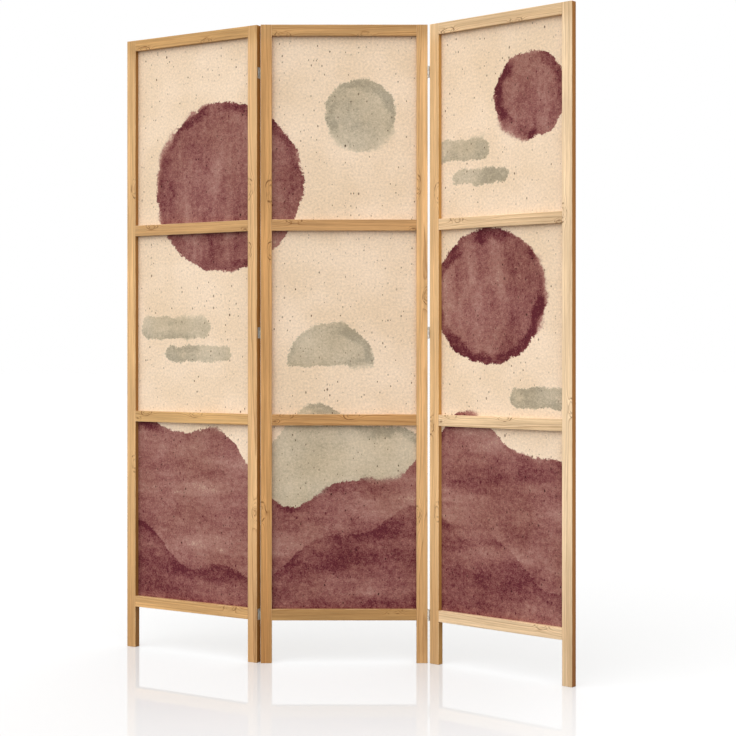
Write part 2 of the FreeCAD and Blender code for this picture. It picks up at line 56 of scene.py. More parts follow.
PANELS = {
    "left_panel": (31.0, "left_fold", Vector((PANEL_WIDTH + EDGE_TO_BACK_PIN, BACK_PIN_DEPTH, 0))),
    "middle_panel": (0.0, "left_fold", Vector((-EDGE_TO_BACK_PIN, BACK_PIN_DEPTH, 0))),
    "right_panel": (40.0, "right_fold", Vector((-EDGE_TO_FRONT_PIN, FRONT_PIN_DEPTH, 0))),
}


def panel_place(panel):
    """The matrix from a panel's own measure to the row frame."""
    turn, fold, pin = PANELS[panel]
    swing = Matrix.Rotation(math.radians(-turn), 4, "Z")
    return Matrix.Translation(FOLD_PINS[fold]) @ swing @ Matrix.Translation(-pin)


def panel_box(node, panel):
    """A node's lowest and highest corners in its panel's own measure."""
    to_panel = panel_place(panel).inverted()
    points = [to_panel @ corner.co for corner in frame["nodes"][node].data.vertices]
    low = Vector([min(point[axis] for point in points) for axis in range(3)])
    high = Vector([max(point[axis] for point in points) for axis in range(3)])
    return low, high


def colour(red, green, blue):
    """A colour given as on a paint chart, 0 to 255, for a shader socket."""
    shares = [part / 255 for part in (red, green, blue)]
    return tuple(s / 12.92 if s <= 0.04045 else ((s + 0.055) / 1.055) ** 2.4 for s in shares) + (1.0,)


# How far each step of a seed moves a noise, so that no two boards show the same patch of it.
SEED_STEP = (1.7, 0.9, 2.3)


class Finish:
    """The shader nodes of a material or a sky, added one call at a time."""

    def __init__(self, owner):
        self.owner = owner
        owner.use_nodes = True
        self.tree = owner.node_tree
        self.tree.nodes.clear()

    def feed(self, socket, value):
        if isinstance(value, bpy.types.NodeSocket):
            self.tree.links.new(value, socket)
        else:
            socket.default_value = value

    def node(self, kind, inputs=None, **settings):
        made = self.tree.nodes.new("ShaderNode" + kind)
        for setting, value in settings.items():
            setattr(made, setting, value)
        for socket, value in (inputs or {}).items():
            self.feed(made.inputs[socket], value)
        return made

    def math(self, operation, *values, clamp=False):
        made = self.node("Math", operation=operation, use_clamp=clamp)
        for socket, value in zip(made.inputs, values):
            self.feed(socket, value)
        return made.outputs[0]

    def most(self, first, *others):
        """The largest of some values."""
        for other in others:
            first = self.math("MAXIMUM", first, other)
        return first

    def spot(self, x, y, z):
        return self.node("CombineXYZ", {"X": x, "Y": y, "Z": z}).outputs[0]

    def stretched(self, where, x, y, z, shift=0.0):
        """A place scaled by three factors and moved along, for a noise that runs with the grain."""
        made = self.node("Mapping", {"Vector": where}, vector_type="POINT")
        made.inputs["Scale"].default_value = (x, y, z)
        made.inputs["Location"].default_value = [shift * step for step in SEED_STEP]
        return made.outputs[0]

    def noise(self, where, detail=2.0, roughness=0.5):
        made = self.node("TexNoise", {
            "Vector": where, "Scale": 1.0, "Detail": detail, "Roughness": roughness})
        return made.outputs["Fac"]

    def chance(self, value):
        """A random share for each whole number."""
        made = self.node("TexWhiteNoise", {"W": value}, noise_dimensions="1D")
        return made.outputs["Value"]

    def span(self, value, start, end, low=0.0, high=1.0, smooth=True):
        made = self.node("MapRange", interpolation_type="SMOOTHSTEP" if smooth else "LINEAR")
        for socket, fed in zip(made.inputs, (value, start, end, low, high)):
            self.feed(socket, fed)
        return made.outputs[0]

    def ramp(self, value, stops):
        made = self.node("ValToRGB", {"Fac": value})
        elements = made.color_ramp.elements
        while len(elements) < len(stops):
            elements.new(1.0)
        for element, (position, shade) in zip(elements, stops):
            element.position = position
            element.color = shade if hasattr(shade, "__len__") else (shade, shade, shade, 1.0)
        return made.outputs["Color"]

    def mix(self, factor, under, over, how="MIX"):
        made = self.node("Mix", data_type="RGBA", blend_type=how)
        self.feed(made.inputs["Factor"], factor)
        self.feed(made.inputs[6], under)
        self.feed(made.inputs[7], over)
        return made.outputs[2]

    def bump(self, height, strength, distance):
        made = self.node("Bump", {"Height": height, "Strength": strength, "Distance": distance})
        return made.outputs["Normal"]

    def surface(self, **inputs):
        """Closes the material with a Principled shader."""
        shader = self.node("BsdfPrincipled")
        for socket, value in inputs.items():
            self.feed(shader.inputs[socket.replace("_", " ")], value)
        self.node("OutputMaterial", {"Surface": shader.outputs[0]})
        return self.owner


def new_finish(name):
    return Finish(bpy.data.materials.new(name))


def dress(node, material):
    """Puts one material on a CAD node."""
    slots = frame["nodes"][node].material_slots
    for slot in slots:
        slot.link = "OBJECT"
        slot.material = material


# Pine. Places are in millimetres on the board: across it, into it, and along it from its low end.
LATE_WOOD = colour(140, 86, 38)
GREY_WOOD = colour(190, 150, 100)
# The darker amber of the uprights' outer narrow sides, set per panel: painted shade.
SIDE_SHADE_AMBER = {
    "left_panel": colour(176, 124, 58),
    "middle_panel": colour(176, 119, 57),
    "right_panel": colour(175, 110, 38),
}
# The amber of the uprights' inner sides beside the canvas, set per panel: painted shade in the recess.
REVEAL_SHADE_AMBER = {
    "left_panel": colour(158, 110, 56),
    "middle_panel": colour(190, 140, 78),
    "right_panel": colour(198, 148, 80),
}
KNOT_BROWN = colour(104, 62, 28)
KNOT_RINGS = ((1.2, 0.45), (2.2, 0.75))
KNOT_STRETCH = 2.4
KNOT_SWELL = 3.6
PITH_WANDER = 26.0
RING_RIPPLE = 3.4
RING_FUZZ = 0.7
CROWN_DROPS = (70, 12)
# Where an upright greys towards the floor, in millimetres up from its low end: partly grime, partly painted
# shade.
GRIME_AND_SHADE_HEIGHTS = (520, 20)
# The paler colour of the long arrises: partly worn varnish, partly a painted highlight.
ARRIS_WEAR_AND_HIGHLIGHT = colour(246, 220, 178)
END_GRAIN = colour(190, 140, 84)
# The grey tint towards the floor: partly grime, partly painted shade.
GRIME_AND_SHADE_TINT = colour(214, 204, 192)


def pine(node, panel, hue, seed, figure, knots=(), crown=None):
    """Varnished pine for one board of a given hue. figure is how bold its grain is, and crown the hue that
    a stile takes at its top. A knot is (along, across, radius, darkness of its eye)."""
    finish = new_finish(node + "_pine")
    low, high = panel_box(node, panel)
    size = (high - low) * 1000
    upright = size.z > size.x
    length, width = (size.z, size.x) if upright else (size.x, size.z)
    middle = (low + high) * 500
    start = Vector((middle.x, middle.y, low.z * 1000) if upright else (low.x * 1000, middle.y, middle.z))

    to_panel = panel_place(panel).inverted()
    place = finish.node("Mapping", {"Vector": finish.node("TexCoord").outputs["Object"]}, vector_type="POINT")
    place.inputs["Scale"].default_value = (1000, 1000, 1000)
    place.inputs["Rotation"].default_value = (0, 0, math.radians(PANELS[panel][0]))
    place.inputs["Location"].default_value = to_panel.translation * 1000 - start
    axes = finish.node("SeparateXYZ", {"Vector": place.outputs[0]})
    across, along = (axes.outputs[0], axes.outputs[2]) if upright else (axes.outputs[2], axes.outputs[0])
    depth = axes.outputs[1]
    board = finish.spot(across, depth, along)

    # The growth rings stand round a pith beside the board that wanders along its length.
    pith_across = (1 if seed % 2 else -1) * (10 + 8 * (seed % 5))
    pith_depth = 16 + 9 * (seed % 3)
    ring_width = 3.6 + 0.5 * (seed % 4)
    taper = (1 if seed % 4 < 2 else -1) * (0.005 + 0.003 * (seed % 3))
    wander = finish.noise(finish.stretched(board, 0.010, 0.010, 0.0026, seed), 1.0)
    ripple = finish.noise(finish.stretched(board, 0.11, 0.11, 0.010, seed + 40), 2.0)
    fuzz = finish.noise(finish.stretched(board, 0.9, 0.9, 0.03, seed + 80), 1.0)
    from_pith = finish.math("MULTIPLY_ADD", wander, PITH_WANDER, across)
    from_pith = finish.math("ADD", from_pith, pith_across - PITH_WANDER / 2)
    into_pith = finish.math("ADD", depth, pith_depth)
    radius = finish.node("VectorMath", {0: finish.spot(from_pith, into_pith, 0.0)}, operation="LENGTH")
    radius = finish.math("MULTIPLY_ADD", ripple, RING_RIPPLE, radius.outputs["Value"])
    radius = finish.math("MULTIPLY_ADD", fuzz, RING_FUZZ, radius)
    radius = finish.math("MULTIPLY_ADD", along, taper, radius)

    # A knot swirls the rings round it, darkens them nearby, stands inside two dark lines that are broken
    # here and there, and may show its own dark eye.
    bend = finish.noise(finish.stretched(board, 0.06, 0.06, 0.025, seed + 60), 1.0)
    swirl, eye, lines = 0.0, 0.0, 0.0
    for knot_along, knot_across, knot_radius, knot_eye in knots:
        aside = finish.math("DIVIDE", finish.math("SUBTRACT", across, knot_across), knot_radius)
        aside = finish.math("ADD", aside, finish.span(bend, 0.3, 0.7, -0.7, 0.7, smooth=False))
        ahead = finish.math("DIVIDE", finish.math("SUBTRACT", along, knot_along), knot_radius * KNOT_STRETCH)
        spread = finish.math(
            "ADD", finish.math("MULTIPLY", aside, aside), finish.math("MULTIPLY", ahead, ahead))
        push = finish.math("EXPONENT", finish.math("MULTIPLY", spread, -0.16))
        radius = finish.math("MULTIPLY_ADD", push, KNOT_SWELL * knot_radius, radius)
        swirl = finish.most(push, swirl)
        reach = finish.math("SQRT", spread)
        for ring_reach, ring_depth in KNOT_RINGS:
            off = finish.math("ABSOLUTE", finish.math("SUBTRACT", reach, ring_reach))
            lines = finish.most(finish.span(off, 0.30, 0.08, 0.0, ring_depth), lines)
        if knot_eye:
            eye = finish.most(finish.span(spread, 1.2, 0.15, 0.0, knot_eye), eye)

    rings = finish.math("DIVIDE", radius, ring_width)
    ring = finish.math("FLOOR", rings)
    late = finish.ramp(finish.math("FRACT", rings), [
        (0.0, 0.0), (0.45, 0.05), (0.76, 0.35), (0.88, 1.0), (0.95, 0.6), (1.0, 0.0)])
    late = finish.math("MULTIPLY", late, finish.span(finish.chance(ring), 0.25, 1.0, 0.15, 1.0))
    fibre = finish.noise(finish.stretched(board, 1.7, 1.7, 0.035, seed + 120), 3.0, 0.6)
    band = finish.noise(finish.stretched(board, 0.16, 0.16, 0.004, seed + 140), 2.0)
    cloud = finish.noise(finish.stretched(board, 0.035, 0.035, 0.005, seed + 160), 2.0)

    wood = hue
    if crown:
        near_top = finish.span(along, *[length - drop for drop in CROWN_DROPS], 0.0, 0.8)
        wood = finish.mix(near_top, hue, crown)
    wood = finish.mix(figure + 0.3, wood, finish.ramp(band, [(0.32, 0.82), (0.68, 1.16)]), "MULTIPLY")
    wood = finish.mix(0.8, wood, finish.ramp(cloud, [(0.30, 0.89), (0.70, 1.11)]), "MULTIPLY")
    grey = finish.math("MULTIPLY", finish.chance(finish.math("ADD", ring, 0.37)), 0.22)
    wood = finish.mix(grey, wood, GREY_WOOD)
    bold = finish.math("MULTIPLY_ADD", swirl, 0.55, figure, clamp=True)
    wood = finish.mix(finish.math("MULTIPLY", late, bold), wood, LATE_WOOD)
    wood = finish.mix(0.55, wood, finish.ramp(fibre, [(0.25, 0.72), (0.75, 1.22)]), "MULTIPLY")
    if knots:
        breaks = finish.noise(finish.stretched(board, 0.10, 0.10, 0.05, seed + 70), 1.0)
        lines = finish.math("MULTIPLY", lines, finish.span(breaks, 0.38, 0.60, 0.08, 1.0))
        wood = finish.mix(finish.most(eye, lines), wood, KNOT_BROWN)

    # An upright's narrow sides are painted a darker amber, set per panel for the outer sides and for the
    # reveals beside the canvas: painted shade. The long arrises are painted paler, unevenly: partly worn
    # varnish and partly a painted highlight. The sawn ends are darker, and an upright greys towards the floor
    # over its lowest half metre: partly grime and partly painted shade.
    side_gap = finish.math("SUBTRACT", width / 2, finish.math("ABSOLUTE", across))
    if upright:
        # The narrow sides take a darker amber: painted shade.
        side_shade = finish.math("MULTIPLY", finish.span(side_gap, 0.35, 0.05), 0.94)
        inwards = 1 if middle.x < PANEL_WIDTH * 500 else -1
        reveal = finish.span(finish.math("MULTIPLY", across, inwards), -1, 1)
        wood = finish.mix(side_shade, wood, finish.mix(reveal, SIDE_SHADE_AMBER[panel], REVEAL_SHADE_AMBER[panel]))
        # Greying over the lowest half metre of an upright: partly grime, partly painted shade.
        grime_and_shade = finish.span(cloud, 0.2, 0.8, 0.6, 1.4)
        grime_and_shade = finish.math("MULTIPLY", grime_and_shade, finish.span(along, *GRIME_AND_SHADE_HEIGHTS, 0.0, 0.75))
        wood = finish.mix(grime_and_shade, wood, GRIME_AND_SHADE_TINT, "MULTIPLY")
    face_gap = finish.math("SUBTRACT", size.y / 2, finish.math("ABSOLUTE", depth))
    # The long arrises are painted paler, unevenly: partly wear, partly a painted highlight.
    arris_patches = finish.noise(finish.stretched(board, 0.05, 0.05, 0.02, seed + 200), 3.0)
    arris_wear_and_highlight = finish.span(finish.math("ADD", side_gap, face_gap), 1.2, 0.3)
    arris_wear_and_highlight = finish.math("MULTIPLY", arris_wear_and_highlight, finish.span(arris_patches, 0.35, 0.65, 0.05, 0.55))
    wood = finish.mix(arris_wear_and_highlight, wood, ARRIS_WEAR_AND_HIGHLIGHT)
    from_end = finish.math("MINIMUM", along, finish.math("SUBTRACT", length, along))
    end = finish.span(from_end, 0.5, 0.15)
    wood = finish.mix(finish.math("MULTIPLY", end, 0.5), wood, END_GRAIN, "MULTIPLY")

    height = finish.math("MULTIPLY_ADD", late, 0.6, fibre)
    rough = finish.math("MULTIPLY_ADD", fibre, 0.22, 0.36)
    rough = finish.math("MULTIPLY_ADD", late, -0.07, rough)
    return finish.surface(
        Base_Color=wood,
        Roughness=rough,
        Normal=finish.bump(height, 0.22, 0.0004),
        Specular_IOR_Level=0.12,
    )


def metal(name, bright, dull, low, high):
    """Zinc-plated steel, clouded and finely scratched along its length, from a bright shade to a dull one."""
    finish = new_finish(name)
    place = finish.node("TexCoord").outputs["Object"]
    cloud = finish.noise(finish.stretched(place, 260, 260, 160), 3.0)
    scratch = finish.noise(finish.stretched(place, 5200, 5200, 210), 2.0, 0.6)
    shade = finish.mix(finish.span(cloud, 0.35, 0.65), bright, dull)
    shade = finish.mix(0.35, shade, finish.ramp(scratch, [(0.3, 0.55), (0.7, 1.1)]), "MULTIPLY")
    rough = finish.span(scratch, 0.3, 0.7, low, high)
    return finish.surface(
        Base_Color=shade, Metallic=0.40, Roughness=rough, Normal=finish.bump(scratch, 0.12, 0.0001))


def beech():
    """Bare beech with short dark flecks, for the dowels."""
    finish = new_finish("dowel_beech")
    place = finish.node("TexCoord").outputs["Object"]
    fleck = finish.noise(finish.stretched(place, 900, 900, 900), 2.0)
    wood = finish.ramp(fleck, [
        (0.3, colour(206, 164, 120)), (0.62, colour(222, 184, 142)), (0.8, colour(160, 112, 72))])
    return finish.surface(Base_Color=wood, Roughness=finish.span(fleck, 0.2, 0.8, 0.55, 0.75))


# The wood of each panel, by board: its hue and its knots.
STILE_KNOTS = {
    "left_panel_outer_stile": [(1300, 10, 5.0, 0), (520, 12, 4.5, 0)],
    "left_panel_inner_stile": [(1278, -12, 5.5, 0), (1111, -13, 4.5, 0), (404, 11, 5.0, 0)],
    "middle_panel_left_stile": [(1272, 12, 5.5, 0), (1111, 13, 4.5, 0), (408, -11, 5.0, 0)],
    "middle_panel_right_stile": [(1290, -12, 5.0, 0), (990, 13, 4.5, 0), (398, -12, 5.0, 0)],
    "right_panel_inner_stile": [(1265, 12, 5.0, 0), (640, -13, 4.5, 0), (410, 11, 5.0, 0)],
    "right_panel_outer_stile": [(1190, -12, 4.5, 0), (700, 12, 4.5, 0)],
}
RAIL_KNOTS = {
    "top_rail": [(30, -12, 4.0, 0), (250, -13, 3.5, 0)],
    "upper_rail": [(382, -9, 2.6, 0.6), (60, 12, 4.0, 0)],
    "lower_rail": [(8, -4, 2.4, 0.7), (215, 12, 4.0, 0), (40, 12, 3.5, 0)],
    "bottom_rail": [(330, 12, 4.0, 0)],
}
PANEL_BOARDS = {
    "left_panel": (("outer_stile", "inner_stile"), ("outer_strip", "inner_strip")),
    "middle_panel": (("left_stile", "right_stile"), ("left_strip", "right_strip")),
    "right_panel": (("inner_stile", "outer_stile"), ("inner_strip", "outer_strip")),
}
RAILS = ("top_rail", "upper_rail", "lower_rail", "bottom_rail")
STILE_HUES = {
    "left_panel": (colour(228, 184, 129), colour(230, 186, 134)),
    "middle_panel": (colour(211, 159, 101), colour(231, 184, 128)),
    "right_panel": (colour(231, 189, 137), colour(249, 220, 181)),
}
RAIL_HUES = {
    "left_panel": (
        colour(204, 160, 104), colour(206, 162, 110), colour(217, 174, 117), colour(210, 166, 112)),
    "middle_panel": (
        colour(200, 155, 101), colour(201, 155, 104), colour(198, 149, 95), colour(176, 135, 85)),
    "right_panel": (
        colour(228, 195, 152), colour(231, 199, 158), colour(235, 204, 163), colour(238, 207, 167)),
}
STRIP_HUE = colour(226, 188, 138)
GRAIN_FIGURE = {"left_panel": 0.58, "middle_panel": 0.70, "right_panel": 0.42}
RAIL_FIGURE = 0.22

seed = 3
for panel, (stiles, upright_strips) in PANEL_BOARDS.items():
    boards = list(zip(stiles, STILE_HUES[panel])) + list(zip(RAILS, RAIL_HUES[panel]))
    boards += [(strip, STRIP_HUE) for strip in upright_strips + ("top_strip", "bottom_strip")]
    for board, hue in boards:
        node = f"{panel}_{board}"
        knots = STILE_KNOTS.get(node) or RAIL_KNOTS.get(board, ())
        crown = RAIL_HUES[panel][0] if board in stiles else None
        figure = GRAIN_FIGURE[panel] + (RAIL_FIGURE if board in RAILS else 0.0)
        dress(node, pine(node, panel, hue, seed, figure, knots, crown))
        seed += 7

hinge_steel = metal("hinge_steel", colour(238, 236, 230), colour(196, 192, 184), 0.34, 0.52)
screw_steel = metal("screw_steel", colour(226, 226, 220), colour(180, 180, 176), 0.28, 0.42)
pin_steel = metal("pin_steel", colour(186, 184, 180), colour(140, 138, 134), 0.32, 0.50)
brad_steel = metal("brad_steel", colour(176, 176, 174), colour(126, 124, 120), 0.35, 0.55)
dowel_beech = beech()
for panel in PANELS:
    dress(f"{panel}_dowels", dowel_beech)
    dress(f"{panel}_brads", brad_steel)
for fold in ("left", "right"):
    dress(f"{fold}_hinge_pins", pin_steel)
    for leaf in ("fixed", "moving"):
        dress(f"{fold}_hinge_{leaf}_screws", screw_steel)
        for height in ("top", "middle", "bottom"):
            dress(f"{fold}_{height}_hinge_{leaf}_leaf", hinge_steel)


# The print: moons, hills and mist that run on over the three canvases. Places are in millimetres over the
# whole screen laid flat, across from its left edge and up from the floor. Each layer is how far a spot is
# outside it.
def moon(u, v, centre_u, centre_v, radius):
    return math.hypot(u - centre_u, v - centre_v) - radius


def hill(u, v, height, waves):
    ridge = height + sum(rise * math.sin(math.tau * u / run + turn) for rise, run, turn in waves)
    return v - ridge


def mist(u, v, start, end, height, half):
    nearest = min(max(u, start), end)
    return math.hypot(u - nearest, v - height) - half


def moon_layer(u, v):
    return min(moon(u, v, 330, 1290, 232), moon(u, v, 1085, 985, 178), moon(u, v, 1215, 1500, 112))


def far_hill_layer(u, v):
    return hill(u, v, 545, [(105, 900, 0.5), (38, 330, 1.4)])


def near_hill_layer(u, v):
    return hill(u, v, 315, [(85, 1040, 2.6), (24, 270, 0.3)])


def sage_layer(u, v):
    half_moon = max(moon(u, v, 640, 800, 118), 800 - v)
    streaks = min(
        mist(u, v, 70, 255, 905, 30), mist(u, v, 150, 330, 832, 22),
        mist(u, v, 905, 1060, 1375, 28), mist(u, v, 985, 1130, 1302, 20), mist(u, v, 1180, 1300, 720, 26))
    rise = hill(u, v, 560, [(120, 980, 3.6), (30, 300, 2.0)])
    return min(half_moon, streaks, rise, moon(u, v, 720, 1478, 96))


PRINT_LAYERS = {
    "moon_wash": moon_layer,
    "far_hill_wash": far_hill_layer,
    "near_hill_wash": near_hill_layer,
    "sage_wash": sage_layer,
}
CREAM = colour(244, 220, 193)
CREAM_DEEP = colour(234, 208, 177)
FLECK = colour(104, 84, 70)
FABRIC_BACK = colour(226, 214, 192)
SHOW_THROUGH = colour(150, 100, 94)
SHOW_SHARE = 0.16
THREAD_PITCH = 0.0008
EDGE_WOBBLE = 24.0
EDGE_TEETH = 26.0
DRY_BLUR = 1.6
WET_BLUR = 13.0
POOL_REACH = 60.0


def weave(finish, place):
    """The canvas's plain weave: threads that go over and under."""
    axes = finish.node("SeparateXYZ", {"Vector": place})
    threads = [
        finish.math("SINE", finish.math("MULTIPLY", axes.outputs[n], math.pi / THREAD_PITCH))
        for n in (0, 1)]
    return finish.math("MULTIPLY", *threads)


def wash(finish, place, layer, seed, flow):
    """Where a layer of pigment lies, toothed at its edge or blurred where the cloth was wet, and how deep
    it is there: pooled along parts of its edge, and streaked by the brush, whose flow is in waves per metre
    across and up."""
    gap = finish.node("Attribute", attribute_name=layer).outputs["Fac"]
    wobble = finish.noise(finish.stretched(place, 24, 24, 24, seed), 2.0)
    teeth = finish.noise(finish.stretched(place, 150, 150, 150, seed + 2), 4.0, 0.72)
    gap = finish.math("MULTIPLY_ADD", finish.math("SUBTRACT", wobble, 0.5), EDGE_WOBBLE, gap)
    gap = finish.math("MULTIPLY_ADD", finish.math("SUBTRACT", teeth, 0.5), EDGE_TEETH, gap)
    wet = finish.span(finish.noise(finish.stretched(place, 6, 6, 6, seed + 15), 2.0), 0.54, 0.66)
    blur = finish.math("MULTIPLY_ADD", wet, WET_BLUR, DRY_BLUR)
    cover = finish.span(gap, blur, finish.math("MULTIPLY", blur, -1.0))
    streak = finish.noise(finish.stretched(place, *flow, 1, seed + 5), 4.0, 0.6)
    drift = finish.noise(finish.stretched(place, 4.5, 4.5, 4.5, seed + 9), 2.0)
    pool = finish.noise(finish.stretched(place, 14, 14, 14, seed + 19), 3.0)
    front = finish.math("MULTIPLY_ADD", finish.math("SUBTRACT", pool, 0.5), POOL_REACH, gap)
    rim = finish.math("MULTIPLY", finish.span(front, -32, -16), finish.span(drift, 0.42, 0.56, 0.05, 1.0))
    rim = finish.math("MULTIPLY", rim, finish.span(wet, 0.0, 1.0, 1.0, 0.1))
    depth = finish.span(streak, 0.30, 0.70, 0.25, 0.70, smooth=False)
    return cover, finish.math("MULTIPLY_ADD", rim, 0.46, depth)


def flecks(finish, place, cells_in_a_metre, share, reach, seed):
    """Specks of dark fibre, longer than wide, in a share of the cells of a loose grid."""
    cells = finish.node("TexVoronoi", {
        "Vector": finish.stretched(place, cells_in_a_metre, 0.6 * cells_in_a_metre, 1, seed), "Scale": 1.0})
    pick = finish.node("SeparateColor", {"Color": cells.outputs["Color"]})
    size = finish.span(pick.outputs[0], 1.0 - share, 1.0, 0.0, reach, smooth=False)
    speck = finish.span(finish.math("SUBTRACT", cells.outputs["Distance"], size), 0.2 * reach, -0.3 * reach)
    return finish.math("MULTIPLY", speck, finish.span(pick.outputs[1], 0.0, 1.0, 0.30, 1.0))


def printed_canvas():
    finish = new_finish("printed_canvas")
    place = finish.node("UVMap", uv_map="Print").outputs[0]
    cloud = finish.noise(finish.stretched(place, 6, 6, 6), 4.0)
    felt = finish.noise(finish.stretched(place, 160, 160, 160), 4.0, 0.7)
    granule = finish.noise(finish.stretched(place, 85, 85, 85, 3), 4.0, 0.70)
    grit = finish.noise(finish.stretched(place, 280, 280, 280, 17), 3.0, 0.7)
    bloom = finish.noise(finish.stretched(place, 22, 22, 22, 13), 4.0, 0.6)
    threads = weave(finish, place)
    ground = finish.mix(finish.span(cloud, 0.3, 0.7), CREAM, CREAM_DEEP)
    grain = finish.math("MULTIPLY", finish.span(granule, 0.28, 0.72, 0.66, 1.34, smooth=False),
                        finish.span(bloom, 0.30, 0.70, 0.80, 1.20, smooth=False))
    grain = finish.math("MULTIPLY", grain, finish.span(grit, 0.28, 0.72, 0.60, 1.40, smooth=False))
    clots = finish.math("MULTIPLY_ADD", flecks(finish, place, 90, 0.60, 0.22, 21), 1.1, 1.0)

    far, far_depth = wash(finish, place, "far_hill_wash", 23, (3, 14))
    near, near_depth = wash(finish, place, "near_hill_wash", 51, (3, 14))
    full, full_depth = wash(finish, place, "moon_wash", 37, (12, 3))
    green, green_depth = wash(finish, place, "sage_wash", 11, (5, 5))

    clear = finish.math("SUBTRACT", 1.0, finish.most(far, near, full))
    sage = finish.math("MULTIPLY", green, green_depth)
    sage = finish.math("MULTIPLY", sage, finish.math("MULTIPLY", clear, grain))
    sage_tint = finish.ramp(sage, [
        (0.0, (1.0, 1.0, 1.0, 1.0)), (0.22, (0.77, 0.81, 0.80, 1.0)),
        (0.50, (0.66, 0.70, 0.685, 1.0)), (1.0, (0.46, 0.50, 0.49, 1.0))])
    tinted = finish.mix(1.0, ground, sage_tint, "MULTIPLY")

    pigment = finish.most(finish.math("MULTIPLY", far, far_depth), finish.math("MULTIPLY", full, full_depth))
    pigment = finish.math("MULTIPLY_ADD", finish.math("MULTIPLY", near, near_depth), 0.42, pigment)
    pigment = finish.math("MULTIPLY", finish.math("MULTIPLY", pigment, grain), clots)
    wine_tint = finish.ramp(pigment, [
        (0.0, (1.0, 1.0, 1.0, 1.0)), (0.24, (0.47, 0.31, 0.345, 1.0)), (0.48, (0.327, 0.165, 0.189, 1.0)),
        (0.75, (0.204, 0.069, 0.096, 1.0)), (1.0, (0.121, 0.022, 0.045, 1.0))])
    tinted = finish.mix(1.0, tinted, wine_tint, "MULTIPLY")

    # Felted fibre in the ground, and flecks of dark fibre here and there.
    tinted = finish.mix(1.0, tinted, finish.ramp(felt, [(0.28, 0.80), (0.72, 1.14)]), "MULTIPLY")
    speck = finish.most(
        flecks(finish, place, 16, 0.55, 0.050, 4), flecks(finish, place, 55, 0.50, 0.14, 1),
        flecks(finish, place, 140, 0.42, 0.26, 7))
    tinted = finish.mix(speck, tinted, FLECK, "MULTIPLY")

    height = finish.math("MULTIPLY_ADD", felt, 0.8, threads)
    return finish.surface(
        Base_Color=tinted,
        Roughness=finish.span(felt, 0.2, 0.8, 0.78, 0.92),
        Normal=finish.bump(height, 0.20, 0.0002),
        Specular_IOR_Level=0.15,
    )


def canvas_back():
    """The unprinted back, where the print shows through faintly."""
    finish = new_finish("canvas_back")
    place = finish.node("UVMap", uv_map="Print").outputs[0]
    felt = finish.noise(finish.stretched(place, 210, 210, 210), 3.0, 0.65)
    slub = finish.noise(finish.stretched(place, 30, 900, 30), 2.0)
    far, far_depth = wash(finish, place, "far_hill_wash", 23, (3, 14))
    full, full_depth = wash(finish, place, "moon_wash", 37, (12, 3))
    shadow = finish.most(finish.math("MULTIPLY", far, far_depth), finish.math("MULTIPLY", full, full_depth))
    cloth = finish.mix(0.7, FABRIC_BACK, finish.ramp(felt, [(0.28, 0.82), (0.72, 1.08)]), "MULTIPLY")
    cloth = finish.mix(0.4, cloth, finish.ramp(slub, [(0.3, 0.84), (0.7, 1.06)]), "MULTIPLY")
    cloth = finish.mix(finish.math("MULTIPLY", shadow, SHOW_SHARE), cloth, SHOW_THROUGH)
    height = finish.math("MULTIPLY_ADD", slub, 0.6, weave(finish, place))
    return finish.surface(
        Base_Color=cloth,
        Roughness=finish.span(felt, 0.2, 0.8, 0.82, 0.95),
        Normal=finish.bump(height, 0.25, 0.0002),
        Specular_IOR_Level=0.15,
    )


# The canvas, in metres in the panel's own measure. It is held along the inner edges of stiles and rails, and
# is slack between them.
HELD_ACROSS = (0.030, 0.420)
HELD_UP = ((0.145, 0.640), (0.670, 1.165), (1.195, 1.690))
CANVAS_INSET = 0.00005
CANVAS_CELLS = (68, 260)
SLACK_REACH = 0.060
SLACK_DEPTH = 0.0009


def slack(x, z, first):
    """How far the canvas stands off a true plane between the lines that hold it."""
    from_sides = min(x - HELD_ACROSS[0], HELD_ACROSS[1] - x)
    from_rails = max(min(z - low, high - z) for low, high in HELD_UP)
    free = min(max(min(from_sides, from_rails) / SLACK_REACH, 0.0), 1.0)
    wave = noise.noise(Vector((x * 6 + first * 20, z * 4, 0.5)))
    wave += 0.4 * noise.noise(Vector((x * 17, z * 13, first * 9)))
    return SLACK_DEPTH * free * free * (3 - 2 * free) * wave


